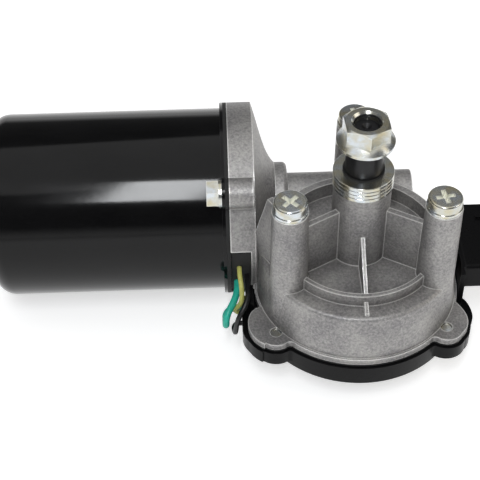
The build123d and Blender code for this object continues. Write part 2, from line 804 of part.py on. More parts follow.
with BuildPart() as worm_gear:
    for side in (-1, 1):
        with BuildSketch(Plane.XY.offset(worm_z + side * gear_face / 2)):
            with BuildLine():
                Polyline(*tooth_outline(side * half_twist), close=True)
            make_face()
    loft(ruled=True)
    ring(gear_web_top, gear_face, gear_rim_inner, hole=gear_hub_radius, mode=Mode.SUBTRACT)
    with BuildSketch(Plane.XY.offset(gear_web_top - 0.5)):
        with PolarLocations((gear_hub_radius + gear_rim_inner) / 2, 6):
            Rectangle(gear_rim_inner - gear_hub_radius + 1, 1.6)
    extrude(amount=3.3)
    ring(gear_bottom - 1, gear_face + 2, output_radius + press_clearance, mode=Mode.SUBTRACT)
save(worm_gear, "worm_gear")

disc_thickness = 0.6
disc_bottom = gear_bottom - disc_thickness
with BuildPart() as contact_disc:
    ring(disc_bottom, disc_thickness, 21.5, hole=12.5)
    with BuildSketch(Plane.XY.offset(disc_bottom)):
        with Locations((19.5, 0)):
            Rectangle(6, 9)
    extrude(amount=disc_thickness, mode=Mode.SUBTRACT)
save(contact_disc, "contact_disc")

with BuildPart() as drive_plate:
    ring(gear_bottom - 2.0, 2.0, output_radius + 4.0, hole=output_radius + press_clearance)
    with BuildSketch(Plane.XY.offset(gear_bottom - 2.0)):
        with PolarLocations(output_radius + 4.2, 3):
            Rectangle(2.4, 4.0)
    extrude(amount=2.0)
save(drive_plate, "drive_plate")

with BuildPart() as upper_bush:
    ring(tower_top - 12.0, 12.0 - flat_gap, tower_bore_radius - press_clearance,
         hole=output_radius + running_clearance)
save(upper_bush, "upper_bush")

with BuildPart() as lower_bush:
    ring(ceiling_z + 0.4, 8.0, tower_bore_radius - press_clearance, hole=output_radius + running_clearance)
save(lower_bush, "lower_bush")

with BuildPart() as gear_thrust_washer:
    ring(gear_top + 0.08, gear_gap - 0.16, tower_bore_radius + 1.6, hole=output_radius + 0.1)
save(gear_thrust_washer, "gear_thrust_washer")

circlip_radius = output_radius + 1.7
for number, name in enumerate(ring_names):
    level = tower_top + number * ring_thickness
    bore = circlip_radius + 0.3 if number == 1 else ring_bore_radius
    with BuildPart() as stack_ring:
        ring(level, ring_thickness, ring_radius, hole=bore)
        outer_edges = stack_ring.edges().filter_by(GeomType.CIRCLE).filter_by(lambda e: e.radius > ring_radius - 0.1)
        fillet(outer_edges, 0.25)
    save(stack_ring, name)

with BuildPart() as shaft_circlip:
    with BuildSketch(Plane.XY.offset(groove_low + 0.1)):
        Circle(circlip_radius)
        Circle(output_radius - 0.55, mode=Mode.SUBTRACT)
        with Locations((0, circlip_radius)):
            Rectangle(6.0, 2 * circlip_radius - 6.0, mode=Mode.SUBTRACT)
    extrude(amount=groove_height - 0.2)
save(shaft_circlip, "shaft_circlip")

with BuildPart() as shaft_seal:
    ring(stack_top - ring_thickness, ring_thickness + 0.7, ring_bore_radius - press_clearance,
         hole=output_radius + running_clearance)
save(shaft_seal, "shaft_seal")

with BuildPart() as shaft_nut:
    with BuildSketch(Plane.XY.offset(nut_level)):
        RegularPolygon(nut_across_flats / sqrt(3), 6, rotation=-85.5)
    extrude(amount=nut_height)
    with BuildSketch(upright):
        with BuildLine():
            Polyline(
                (0, nut_level + nut_height),
                (nut_across_flats / 2 - 0.2, nut_level + nut_height),
                (nut_across_flats / 2 + 2.2, nut_level + nut_height - 1.2),
                (nut_across_flats / 2 + 2.2, nut_level),
                (0, nut_level),
                close=True,
            )
        make_face()
    revolve(axis=Axis.Z, mode=Mode.INTERSECT)
    with BuildSketch(upright):
        with BuildLine():
            Polyline(
                (0, nut_level),
                (nut_flange_radius, nut_level),
                (nut_flange_radius, nut_level + 0.9),
                (nut_across_flats / 2 - 0.4, nut_level + 2.6),
                (0, nut_level + 2.6),
                close=True,
            )
        make_face()
    revolve(axis=Axis.Z)
    ring(nut_level - 1, nut_height + 2, thread_radius + running_clearance, mode=Mode.SUBTRACT)
    top_edge = shaft_nut.edges().filter_by(GeomType.CIRCLE).group_by(Axis.Z)[-1].sort_by(SortBy.RADIUS)[0]
    chamfer(top_edge, 0.75)
save(shaft_nut, "shaft_nut")


# ---------------------------------------------------------------- cover and contacts

bell_side = [(-48, 1.4), (-32.5, 1.4), (-30.2, 10.2), (-27.9, 19.5), (-27.9, 34), (-48, 34)]
inlet_x = -38.2
inlet_step_x = -36.8
wall_inner_radius = base_radius + 0.35
chamber_radius = cavity_radius + 0.3
plate_thickness = 1.6
plate_bottom = cover_top - 1.0
plate_top = plate_bottom + plate_thickness
post_centres = [around(angle, cavity_radius - 4) for angle in (75, 165, 255, 345)]
post_pin_radius = 1.2

with BuildPart() as cover_gasket:
    with BuildSketch(Plane.XY.offset(cover_top)):
        add(joint_outline(base_radius))
        Circle(cavity_radius, mode=Mode.SUBTRACT)
        with BuildLine():
            Polyline(*bell_side, close=True)
        make_face(mode=Mode.SUBTRACT)
        with Locations(*ear_centres):
            Circle(cover_screw_radius + hole_clearance, mode=Mode.SUBTRACT)
    extrude(amount=gasket_depth)
save(cover_gasket, "cover_gasket")

connector_bottom = connector_top - connector_height
connector_middle_y = (connector_front_y + connector_back_y) / 2
shroud_start_x = connector_end_x - shroud_depth
terminal_pitch = 5.0
terminal_width = 2.8
terminal_thickness = 0.6
terminal_gap = 0.05
blade_z = connector_bottom + connector_height / 2
bus_x = (wall_inner_radius + connector_joint_x) / 2
bus_z = cover_top - 2.6
terminal_rows = [connector_middle_y + (k - (terminal_count - 1) / 2) * terminal_pitch for k in range(terminal_count)]


def terminal_bars(gap, front_x):
    """The connector's bent bars, each from its blade down the wall and in under the contact plate."""
    half = terminal_thickness / 2 + gap
    for y in terminal_rows:
        near, far = y - terminal_width / 2 - gap, y + terminal_width / 2 + gap
        inner_x = sqrt(25 ** 2 - y ** 2) - (4 if gap else 0)
        box_between((bus_x - half, near, blade_z - half), (front_x, far, blade_z + half))
        box_between((bus_x - half, near, bus_z - half), (bus_x + half, far, blade_z + half))
        box_between((inner_x, near, bus_z - half), (bus_x + half, far, bus_z + half))


with BuildPart() as terminals:
    terminal_bars(0, terminal_tip_x)
save(terminals, "terminals")

with BuildPart() as terminal_slots:
    terminal_bars(terminal_gap, connector_end_x)

with BuildPart() as gear_cover:
    with BuildSketch(Plane.XY.offset(skirt_bottom)):
        add(joint_outline(base_radius + cover_overhang))
        with BuildLine():
            side = Line((inlet_x, -1.6), (inlet_x, -16.5))
            corner = Spline(side @ 1, (-36.3, -21.8), (-33.6, -24.8), (-30.3, -26.6), tangents=((0, -1), (1, -0.25)))
            Polyline(corner @ 1, (-27, -14), (-27, -1.6), side @ 0)
        make_face()
        with BuildLine():
            corner = Spline((34.0, -5.0), (36.7, -8.2), (37.5, -12.6), (36.2, -17.6), tangents=((1, -0.4), (-0.5, -1)))
            Polyline(corner @ 1, (30, -18), (30, -5), corner @ 0)
        make_face()
    extrude(amount=cover_skirt)
    ring(cover_bottom, cover_drum_drop + 0.5, base_radius + cover_overhang - 0.4)
    fillet(gear_cover.edges().filter_by(GeomType.CIRCLE).group_by(Axis.Z)[0], 0.9)

    # the wall that carries the connector beside the dome, and the step beside the leads
    wall_front_y = connector_front_y - 3.5
    wall_back_y = connector_back_y - 2
    box_between((20, wall_front_y, skirt_bottom), (connector_joint_x - 0.6, connector_front_y, connector_top))
    box_between((20, connector_front_y, skirt_bottom), (connector_joint_x, wall_back_y, connector_top))
    ring(cover_top, connector_top - cover_top + 1, wall_inner_radius, mode=Mode.SUBTRACT)
    box_between((inlet_step_x, -9.9, cover_top - 1), (-base_radius - 0.5, -1.9, cover_top + 5.4))

    # the room beside the motor flange, the chamber and its posts
    with BuildSketch(Plane.XY.offset(cover_bottom - 1)):
        with BuildLine():
            Polyline(*bell_side, close=True)
        make_face()
    extrude(amount=cover_skirt + cover_drum_drop + 2, mode=Mode.SUBTRACT)
    ring(cover_inner_floor, cover_top - cover_inner_floor + 1, chamber_radius, mode=Mode.SUBTRACT)
    round_holes(cover_inner_floor - 0.5, plate_bottom - cover_inner_floor + 0.5, post_centres, 2.6, mode=Mode.ADD)
    round_holes(plate_bottom - 0.5, plate_thickness + 1.1, post_centres, post_pin_radius, mode=Mode.ADD)

    # screw holes, terminal slots and lead holes
    round_holes(skirt_bottom - 1, cover_skirt + 2, ear_centres, cover_screw_radius + hole_clearance)
    round_holes(cover_bottom - 1, cover_drum_drop + 1, ear_centres, 3.9)
    add(terminal_slots.part, mode=Mode.SUBTRACT)
    for lead in leads.values():
        with BuildSketch(Plane(origin=(inlet_x - 1, 0, 0), x_dir=(0, 1, 0), z_dir=(1, 0, 0))):
            with Locations(lead["inlet"]):
                Circle(lead["radius"] + lead_clearance)
        extrude(amount=lead_end_x - inlet_x + 4, mode=Mode.SUBTRACT)
save(gear_cover, "gear_cover")

with BuildPart() as contact_plate:
    ring(plate_bottom, plate_thickness, cavity_radius - 0.5, hole=4.0)
    round_holes(plate_bottom - 1, plate_thickness + 2, post_centres, post_pin_radius + press_clearance)
save(contact_plate, "contact_plate")

finger_tip_z = disc_bottom - 0.3
finger_thickness = 0.4
with BuildPart() as contact_fingers:
    for number, radius in enumerate((14.0, 17.0, 20.0)):
        turn = radians(205 + 6 * number)
        arm = Plane(origin=(0, 0, 0), x_dir=(-sin(turn), cos(turn), 0), z_dir=(cos(turn), sin(turn), 0))
        half = finger_thickness / 2
        with BuildSketch(arm.offset(radius)):
            with BuildLine():
                Polyline((-12, plate_top + half), (-7, plate_top + half), (0, finger_tip_z - half),
                         (1.6, finger_tip_z - 0.9))
            trace(line_width=finger_thickness)
        extrude(amount=1.1, both=True)
save(contact_fingers, "contact_fingers")

with BuildPart() as connector_housing:
    box_between((connector_joint_x, connector_front_y, connector_bottom),
                (connector_end_x, connector_back_y, connector_top))
    fillet(connector_housing.edges().filter_by(Axis.X), 1.2)
    box_between((shroud_start_x, connector_front_y + shroud_wall, connector_bottom + shroud_wall),
                (connector_end_x + 1, connector_back_y - shroud_wall, connector_top - shroud_wall),
                mode=Mode.SUBTRACT)
    for side in (-1, 1):
        rib_y = connector_middle_y + side * 8
        box_between((shroud_start_x - 2, rib_y - 0.8, connector_top - 0.2),
                    (connector_end_x - 2, rib_y + 0.8, connector_top + 0.9))
    add(terminal_slots.part, mode=Mode.SUBTRACT)
save(connector_housing, "connector_housing")


# ---------------------------------------------------------------- fasteners

with BuildPart() as mount_washers:
    round_holes(0, mount_washer_thickness, boss_centres, mount_washer_radius, mode=Mode.ADD)
    round_holes(-1, mount_washer_thickness + 2, boss_centres, mount_screw_radius + hole_clearance)
save(mount_washers, "mount_washers")

head_base = mount_washer_thickness
head_top = head_base + mount_head_height
with BuildPart() as mount_screws:
    round_holes(-mount_screw_depth, mount_screw_depth + head_base + 0.5, boss_centres, mount_screw_radius,
                mode=Mode.ADD)
    round_holes(head_base, mount_head_height, boss_centres, mount_head_radius, mode=Mode.ADD)
    fillet(mount_screws.edges().filter_by(GeomType.CIRCLE).group_by(Axis.Z)[-1], 0.7)
    for centre, turn in zip(boss_centres, (15, 45, 10)):
        with BuildSketch(Plane.XY.offset(head_top)):
            with Locations(Location(centre, turn)):
                Rectangle(6.0, 1.5)
                Rectangle(1.5, 6.0)
        extrude(amount=-2.0, taper=12, mode=Mode.SUBTRACT)
save(mount_screws, "mount_screws")

with BuildPart() as cover_screws:
    round_holes(skirt_bottom - 2.2, 2.2, ear_centres, 3.5, mode=Mode.ADD)
    round_holes(skirt_bottom - 0.5, joint_z + base_flange - 0.1 - skirt_bottom, ear_centres, cover_screw_radius,
                mode=Mode.ADD)
    for centre in ear_centres:
        with BuildSketch(Plane.XY.offset(skirt_bottom - 2.2)):
            with Locations(centre):
                Rectangle(4.4, 1.1)
                Rectangle(1.1, 4.4)
        extrude(amount=1.3, mode=Mode.SUBTRACT)
save(cover_screws, "cover_screws")

with BuildPart() as can_bolts:
    seat_x = can_front_x - lip_thickness
    motor_round_holes(seat_x - 1.0, 1.0, bolt_centres, 4.6, mode=Mode.ADD)
    motor_round_holes(seat_x - 0.5, motor_flange_end_x - 0.8 - seat_x, bolt_centres, can_bolt_radius,
                      mode=Mode.ADD)
    with BuildSketch(across_motor.offset(seat_x - 4.8)):
        for angle, centre in zip(bolt_angles, bolt_centres):
            with Locations(Location(centre, angle)):
                RegularPolygon(8.0 / sqrt(3), 6)
    extrude(amount=3.9)
save(can_bolts, "can_bolts")


# ---------------------------------------------------------------- leads from the motor to the cover

def bend_radii(points):
    """Each corner's arc: 0.45 of its shorter run, over the tangent of half its turn."""
    radii = []
    corners = [Vector(*p) for p in points]
    for before, corner, after in zip(corners, corners[1:], corners[2:]):
        first, second = corner - before, after - corner
        half_turn = radians(first.get_angle(second)) / 2
        radii.append(0.45 * min(first.length, second.length) / tan(half_turn))
    return radii


for colour, lead in leads.items():
    exit_x, exit_z = lead["exit"]
    inlet_y, inlet_z = lead["inlet"]
    route = [(card_rear_x + card_thickness, lead_turn_y, exit_z), (exit_x, lead_turn_y, exit_z)]
    route += lead["loop"] + [(lead_end_x, inlet_y, inlet_z)]
    radii = bend_radii(route)
    with BuildPart() as wire:
        with BuildLine():
            run = FilletPolyline(*route, radius=radii)
        with BuildSketch(Plane(origin=run @ 0, z_dir=run % 0)):
            Circle(lead["radius"])
        sweep()
    save(wire, f"lead_{colour}")
    print(colour, "radii", [round(r, 1) for r in radii], "length", round(run.length, 1),
          "volume ratio", round(wire.part.volume / (pi * lead["radius"] ** 2 * run.length), 4))
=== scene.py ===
import json
import math

import bpy
from mathutils import Matrix, Vector


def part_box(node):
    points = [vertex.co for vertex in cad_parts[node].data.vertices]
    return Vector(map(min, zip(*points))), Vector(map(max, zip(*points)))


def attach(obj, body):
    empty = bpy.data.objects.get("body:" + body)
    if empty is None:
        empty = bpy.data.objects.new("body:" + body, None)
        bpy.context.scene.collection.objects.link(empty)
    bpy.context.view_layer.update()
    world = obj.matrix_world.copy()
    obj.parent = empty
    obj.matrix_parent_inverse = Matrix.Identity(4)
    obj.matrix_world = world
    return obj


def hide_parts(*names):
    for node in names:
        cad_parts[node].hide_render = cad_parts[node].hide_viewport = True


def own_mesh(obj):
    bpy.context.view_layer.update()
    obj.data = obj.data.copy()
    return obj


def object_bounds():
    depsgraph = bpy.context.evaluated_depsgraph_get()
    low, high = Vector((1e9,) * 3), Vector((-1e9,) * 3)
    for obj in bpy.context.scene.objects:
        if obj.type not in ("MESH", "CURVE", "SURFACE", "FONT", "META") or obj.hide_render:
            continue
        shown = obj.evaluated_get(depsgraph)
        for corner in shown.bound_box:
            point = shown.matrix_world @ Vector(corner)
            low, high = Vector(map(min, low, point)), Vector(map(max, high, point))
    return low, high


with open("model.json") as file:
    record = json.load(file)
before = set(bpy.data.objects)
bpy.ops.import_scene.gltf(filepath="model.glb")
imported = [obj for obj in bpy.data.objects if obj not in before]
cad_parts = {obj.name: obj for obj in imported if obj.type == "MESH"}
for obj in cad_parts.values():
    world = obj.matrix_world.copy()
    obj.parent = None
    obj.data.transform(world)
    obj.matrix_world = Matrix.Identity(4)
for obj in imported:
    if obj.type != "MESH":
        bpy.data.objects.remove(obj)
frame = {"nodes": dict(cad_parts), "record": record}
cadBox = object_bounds()
nodes = frame["nodes"]
record = frame["record"]


# camera

cameraSet = {
    "place": (-0.042861, -0.279166, 0.253160),
    "tilt": 44.861,
    "pan": -0.959,
    "roll": -1.146,
    "lens": 91.89,
    "sensor": 36.0,
    "near": 0.01,
    "far": 20.0,
}


def placeCamera(sizes):
    tilt, pan, roll = (math.radians(sizes[k]) for k in ("tilt", "pan", "roll"))
    back = Vector((math.sin(pan) * math.cos(tilt), -math.cos(pan) * math.cos(tilt), math.sin(tilt)))
    level = Vector((math.cos(pan), math.sin(pan), 0))
    rise = back.cross(level)
    right = level * math.cos(roll) + rise * math.sin(roll)
    up = rise * math.cos(roll) - level * math.sin(roll)
    data = bpy.data.cameras.new("benchCamera")
    data.lens = sizes["lens"]
    data.sensor_width = sizes["sensor"]
    data.clip_start = sizes["near"]
    data.clip_end = sizes["far"]
    camera = bpy.data.objects.new("benchCamera", data)
    bpy.context.scene.collection.objects.link(camera)
    camera.matrix_world = Matrix(
        ((right.x, up.x, back.x, sizes["place"][0]),
         (right.y, up.y, back.y, sizes["place"][1]),
         (right.z, up.z, back.z, sizes["place"][2]),
         (0, 0, 0, 1)))
    bpy.context.scene.camera = camera


placeCamera(cameraSet)
print("camera placed")


# shader maths

class Value:
    # a socket that takes arithmetic, each step a Math node
    def __init__(self, tree, socket):
        self.tree, self.socket = tree, socket

    def step(self, operation, *others, clamp=False):
        node = self.tree.nodes.new("ShaderNodeMath")
        node.operation = operation
        node.use_clamp = clamp
        for slot, item in zip(node.inputs, (self,) + others):
            put(self.tree, slot, item)
        return Value(self.tree, node.outputs[0])

    def __add__(self, other):
        return self.step("ADD", other)

    def __mul__(self, other):
        return self.step("MULTIPLY", other)

    def __sub__(self, other):
        return self.step("SUBTRACT", other)

    def __rsub__(self, other):
        return (self * -1) + other

    def __truediv__(self, other):
        return self.step("DIVIDE", other)

    def limited(self):
        return self.step("MULTIPLY", 1.0, clamp=True)

    __radd__ = __add__
    __rmul__ = __mul__


def put(tree, slot, item):
    if isinstance(item, Value):
        tree.links.new(item.socket, slot)
    elif isinstance(item, bpy.types.NodeSocket):
        tree.links.new(item, slot)
    elif hasattr(item, "__len__") and slot.type == "RGBA" and len(item) == 3:
        slot.default_value = (*item, 1)
    else:
        slot.default_value = item


def socketOf(sockets, key):
    # by identifier first, because some nodes have several sockets of one name
    for test in (lambda s: s.identifier == key, lambda s: s.name.replace(" ", "") == key):
        for socket in sockets:
            if test(socket):
                return socket
    raise KeyError(key)


def shade(colour):
    if isinstance(colour, (int, float)):
        return (colour, colour, colour, 1)
    return (*colour, 1)


class Finish:
    # a material with one Principled shader, filled in by its maker function
    def __init__(self, name):
        self.material = bpy.data.materials.new(name)
        self.material.use_nodes = True
        self.tree = self.material.node_tree
        self.shader = self.tree.nodes["Principled BSDF"]
        self.place = self.node("TexCoord", pick="Object")

    def node(self, kind, settings=None, pick=None, **values):
        node = self.tree.nodes.new("ShaderNode" + kind)
        for key, item in (settings or {}).items():
            if key == "stops":
                ramp = node.color_ramp
                while len(ramp.elements) > 1:
                    ramp.elements.remove(ramp.elements[-1])
                ramp.elements[0].position, ramp.elements[0].color = item[0][0], shade(item[0][1])
                for at, colour in item[1:]:
                    ramp.elements.new(at).color = shade(colour)
            else:
                setattr(node, key, item)
        for key, item in values.items():
            put(self.tree, socketOf(node.inputs, key), item)
        return Value(self.tree, socketOf(node.outputs, pick) if pick else node.outputs[0])

    def set(self, **values):
        for key, item in values.items():
            put(self.tree, socketOf(self.shader.inputs, key), item)

    def noise(self, scale, detail=2.0, stretch=None):
        place = self.place
        if stretch:
            place = self.node("Mapping", Vector=place, Scale=stretch)
        return self.node("TexNoise", Vector=place, Scale=scale, Detail=detail)

    def ramp(self, value, *stops):
        return self.node("ValToRGB", {"stops": stops}, Fac=value)

    def mix(self, amount, under, over):
        return self.node("Mix", {"data_type": "RGBA"}, "Result_Color",
                         Factor_Float=amount, A_Color=under, B_Color=over)

    def bump(self, height, strength, distance):
        return self.node("Bump", Height=height, Strength=strength, Distance=distance)

    def edge(self, width, gain=4.0):
        # 1 along an edge or a corner, 0 on a flat
        rounded = self.node("Bevel", {"samples": 6}, Radius=width)
        flat = self.node("NewGeometry", pick="Normal")
        match = self.node("VectorMath", {"operation": "DOT_PRODUCT"}, "Value",
                          Vector=rounded, Vector_001=flat)
        return ((1 - match) * gain).limited()

    def hollow(self, reach, gain=1.6):
        # 1 deep in a recess, 0 in the open
        opening = self.node("AmbientOcclusion", {"samples": 8, "only_local": True}, "AO", Distance=reach)
        return ((1 - opening) * gain).limited()

    def away(self, centre, axis):
        # distance from a line through centre along axis, for turned parts
        fromCentre = self.node("VectorMath", {"operation": "SUBTRACT"},
                               Vector=self.place, Vector_001=centre)
        flattened = self.node("VectorMath", {"operation": "MULTIPLY"}, Vector=fromCentre,
                              Vector_001=[0.0 if k == axis else 1.0 for k in range(3)])
        return self.node("VectorMath", {"operation": "LENGTH"}, "Value", Vector=flattened)


# finishes, with lengths in metres and pattern scales per metre

def scaled(colour, gain, lift=0.0, most=math.inf):
    return tuple(min(most, part * gain + lift) for part in colour)


castSizes = {
    "grain": 1250.0, "sand": 3200.0, "blotch": 75.0, "edgeWidth": 0.0007, "edgeGain": 7.0,
    "recess": 0.007, "dark": (0.21, 0.205, 0.21), "light": (0.49, 0.478, 0.462),
    "worn": (0.95, 0.94, 0.92), "grime": (0.10, 0.093, 0.085), "grimeShare": 0.35,
    "metallic": 0.62, "roughness": 0.36, "relief": 0.6, "depth": 0.00028,
}


def castMetal(name, sizes):
    # sand grain over broad blotches, with a painted highlight and some wear on edges and painted shade in
    # recesses
    made = Finish(name)
    grain = made.noise(sizes["grain"], 2.0)
    sand = made.noise(sizes["sand"], 2.0)
    blotch = made.noise(sizes["blotch"], 4.0)
    skin = grain * 0.6 + sand * 0.4
    colour = made.ramp(skin * 0.62 + blotch * 0.38, (0.38, sizes["dark"]), (0.64, sizes["light"]))
    # painted shade: darker where ambient occlusion finds a recess
    colour = made.mix(made.hollow(sizes["recess"]) * sizes["grimeShare"], colour, sizes["grime"])
    # painted highlight along convex and concave edges, standing partly for wear
    worn = made.edge(sizes["edgeWidth"], sizes["edgeGain"]) * (blotch * 0.8 + 0.6)
    made.set(BaseColor=made.mix(worn.limited(), colour, sizes["worn"]), Metallic=sizes["metallic"],
             Roughness=blotch * 0.22 + sizes["roughness"] - worn * 0.12,
             Normal=made.bump(skin, sizes["relief"], sizes["depth"]))
    return made.material


paintSizes = {
    "peel": 520.0, "smear": 45.0, "dust": 1900.0, "edgeWidth": 0.0003,
    "dark": (0.0016, 0.0016, 0.0019), "light": (0.006, 0.006, 0.0066), "worn": (0.03, 0.03, 0.032),
    "roughness": 0.06, "gloss": 0.25, "relief": 0.06, "depth": 0.00008,
}


def glossPaint(name, sizes):
    # orange peel, wiping marks and a trace of dust, with a faint painted glint and wear on edges
    made = Finish(name)
    peel = made.noise(sizes["peel"], 1.0)
    smear = made.noise(sizes["smear"], 4.0, (1.0, 2.5, 2.5))
    dust = made.noise(sizes["dust"], 2.0)
    base = made.ramp(dust * 0.5 + smear * 0.5, (0.4, sizes["dark"]), (0.75, sizes["light"]))
    worn = made.edge(sizes["edgeWidth"]) * 0.5
    made.set(BaseColor=made.mix(worn, base, sizes["worn"]), Roughness=smear * 0.10 + sizes["roughness"],
             SpecularIORLevel=sizes["gloss"],
             Normal=made.bump(peel * 0.8 + dust * 0.04, sizes["relief"], sizes["depth"]))
    return made.material


plasticSizes = {"flow": 60.0, "edgeWidth": 0.0005, "depth": 0.00012}


def mouldedPlastic(name, colour, roughness, grain=2200.0, relief=0.16, gloss=0.5, sizes=plasticSizes):
    # a spark-eroded mould's grain, with faint flow and corners lightened as rubbing and a painted glint
    made = Finish(name)
    sand = made.noise(grain, 2.0)
    flow = made.noise(sizes["flow"], 3.0)
    rubAndGlint = scaled(colour, 2.2, 0.012)
    base = made.ramp(sand * 0.4 + flow * 0.6, (0.35, colour), (0.75, scaled(colour, 1.5)))
    made.set(BaseColor=made.mix(made.edge(sizes["edgeWidth"]) * 0.7, base, rubAndGlint),
             Roughness=sand * 0.14 + (roughness - 0.07), SpecularIORLevel=gloss,
             Normal=made.bump(sand, relief, sizes["depth"]))
    return made.material


rubberSizes = {"skin": 1500.0, "bloom": 110.0, "roughness": 0.68, "relief": 0.2, "depth": 0.0001}


def softRubber(name, colour, sizes=rubberSizes):
    # a dull skin with a faint pale bloom
    made = Finish(name)
    skin = made.noise(sizes["skin"], 3.0)
    bloom = made.noise(sizes["bloom"], 4.0)
    base = made.ramp(bloom, (0.35, colour), (0.75, scaled(colour, 1.0, 0.012)))
    made.set(BaseColor=base, Roughness=skin * 0.12 + sizes["roughness"],
             Normal=made.bump(skin, sizes["relief"], sizes["depth"]))
    return made.material


platedSizes = {
    "brush": 2600.0, "film": 240.0, "edgeWidth": 0.0005, "recess": 0.0016, "recessGain": 1.8,
    "blue": (0.62, 0.66, 0.69), "grey": (0.57, 0.575, 0.53), "straw": (0.56, 0.52, 0.38),
    "worn": (0.85, 0.86, 0.86), "inner": (0.95, 0.95, 0.88), "grime": (0.07, 0.052, 0.036),
    "metallic": 0.95, "roughness": 0.10, "relief": 0.12, "depth": 0.00006,
}


def platedSteel(name, sizes):
    # zinc with a blue to straw film, a painted highlight deep in a driver recess, dark brown round its rim
    # and a painted glint with wear on outer edges
    made = Finish(name)
    brush = made.noise(sizes["brush"], 2.0, (1.0, 1.0, 3.0))
    film = made.noise(sizes["film"], 3.0)
    colour = made.ramp(film, (0.38, sizes["blue"]), (0.5, sizes["grey"]), (0.66, sizes["straw"]))
    deep = made.hollow(sizes["recess"], sizes["recessGain"])
    # painted highlight: nearly white, rougher and less metallic deep in a recess
    colour = made.mix(deep, colour, sizes["inner"])
    # edge colour: a painted glint with wear in the open, dark brown inside a recess
    rim = made.mix(deep, sizes["worn"], sizes["grime"])
    made.set(BaseColor=made.mix(made.edge(sizes["edgeWidth"]) * 0.75, colour, rim),
             Metallic=sizes["metallic"] - deep * 0.6,
             Roughness=film * 0.14 + brush * 0.08 + sizes["roughness"] + deep * 0.4,
             Normal=made.bump(brush, sizes["relief"], sizes["depth"]))
    return made.material


turnedSizes = {"tone": 420.0, "edgeWidth": 0.0004, "relief": 0.18, "depth": 0.00004}


def turnedMetal(name, colour, roughness, centre, axis, metallic=1.0, pitch=0.00022, glintAndWear=None,
                sizes=turnedSizes):
    # fine tool rings round an axis, with a broken tone over them and edges lightened as wear and a painted
    # glint
    made = Finish(name)
    along = made.node("SeparateXYZ", pick="XYZ"[axis], Vector=made.place)
    phase = (along + made.away(centre, axis)) * (2 * math.pi / pitch)
    rings = phase.step("SINE") * 0.5 + 0.5
    tone = made.noise(sizes["tone"], 4.0)
    base = made.ramp(tone * 0.75 + rings * 0.25, (0.35, scaled(colour, 0.72)), (0.7, colour))
    worn = glintAndWear or scaled(colour, 1.5, 0.03, most=1.0)
    made.set(BaseColor=made.mix(made.edge(sizes["edgeWidth"]) * 0.75, base, worn), Metallic=metallic,
             Roughness=tone * 0.18 + (roughness - 0.09),
             Normal=made.bump(rings * 0.6 + tone * 0.4, sizes["relief"], sizes["depth"]))
    return made.material


drawnSizes = {"tone": 900.0, "scratch": 2600.0, "edgeWidth": 0.0003, "relief": 0.15, "depth": 0.00004}


def drawnWire(name, colour, roughness, sizes=drawnSizes):
    # drawn or stamped stock: scratches that run along X, and edges lightened as a painted glint with wear
    made = Finish(name)
    tone = made.noise(sizes["tone"], 3.0)
    scratch = made.noise(sizes["scratch"], 2.0, (0.3, 1.0, 1.0))
    base = made.ramp(tone, (0.35, scaled(colour, 0.7)), (0.7, colour))
    made.set(BaseColor=made.mix(made.edge(sizes["edgeWidth"]) * 0.6, base, scaled(colour, 1.6, most=1.0)),
             Metallic=1.0, Roughness=scratch * 0.2 + (roughness - 0.1),
             Normal=made.bump(scratch, sizes["relief"], sizes["depth"]))
    return made.material


stackSizes = {
    "pitch": 0.0005, "tone": 300.0, "gap": (0.05, 0.045, 0.04), "sheet": (0.33, 0.32, 0.31),
    "rust": (0.24, 0.16, 0.11), "metallic": 0.9, "roughness": 0.35, "relief": 0.4, "depth": 0.00006,
}


def sheetStack(name, sizes):
    # punched sheets packed along the motor, a thin dark line between each
    made = Finish(name)
    along = made.node("SeparateXYZ", pick="X", Vector=made.place)
    wave = (along * (2 * math.pi / sizes["pitch"])).step("SINE") * 0.5 + 0.5
    tone = made.noise(sizes["tone"], 4.0)
    base = made.ramp(wave, (0.08, sizes["gap"]), (0.3, sizes["sheet"]))
    made.set(BaseColor=made.mix(tone * 0.5, base, sizes["rust"]), Metallic=sizes["metallic"],
             Roughness=tone * 0.25 + sizes["roughness"],
             Normal=made.bump(wave, sizes["relief"], sizes["depth"]))
    return made.material


blockSizes = {"tone": 260.0, "relief": 0.3, "depth": 0.00008}


def sinteredBlock(name, colour, fleck, metallic, roughness, grain=1800.0, sizes=blockSizes):
    # pressed powder: open grain with bright or dark flecks
    made = Finish(name)
    cells = made.node("TexVoronoi", Vector=made.place, Scale=grain)
    tone = made.noise(sizes["tone"], 4.0)
    flecks = made.ramp(cells, (0.12, 1.0), (0.3, 0.0))
    base = made.ramp(tone, (0.35, scaled(colour, 0.75)), (0.7, colour))
    made.set(BaseColor=made.mix(flecks, base, fleck), Metallic=metallic,
             Roughness=tone * 0.2 + (roughness - 0.1),
             Normal=made.bump(cells, sizes["relief"], sizes["depth"]))
    return made.material


boardSizes = {
    "fibre": 700.0, "cloud": 90.0, "edgeWidth": 0.0004,
    "dark": (0.075, 0.028, 0.012), "light": (0.16, 0.07, 0.03), "worn": (0.26, 0.15, 0.08),
    "roughness": 0.42, "relief": 0.2, "depth": 0.00008,
}


def boardResin(name, sizes):
    # paper fibres under brown resin, with edges lightened as wear and a painted glint
    made = Finish(name)
    fibre = made.noise(sizes["fibre"], 4.0, (1.0, 6.0, 1.0))
    cloud = made.noise(sizes["cloud"], 3.0)
    base = made.ramp(fibre * 0.6 + cloud * 0.4, (0.35, sizes["dark"]), (0.7, sizes["light"]))
    made.set(BaseColor=made.mix(made.edge(sizes["edgeWidth"]) * 0.5, base, sizes["worn"]),
             Roughness=fibre * 0.2 + sizes["roughness"],
             Normal=made.bump(fibre, sizes["relief"], sizes["depth"]))
    return made.material


skinSizes = {
    "draw": 1300.0, "soil": 210.0, "roughness": 0.30, "gloss": 0.5, "relief": 0.12, "depth": 0.00006,
}


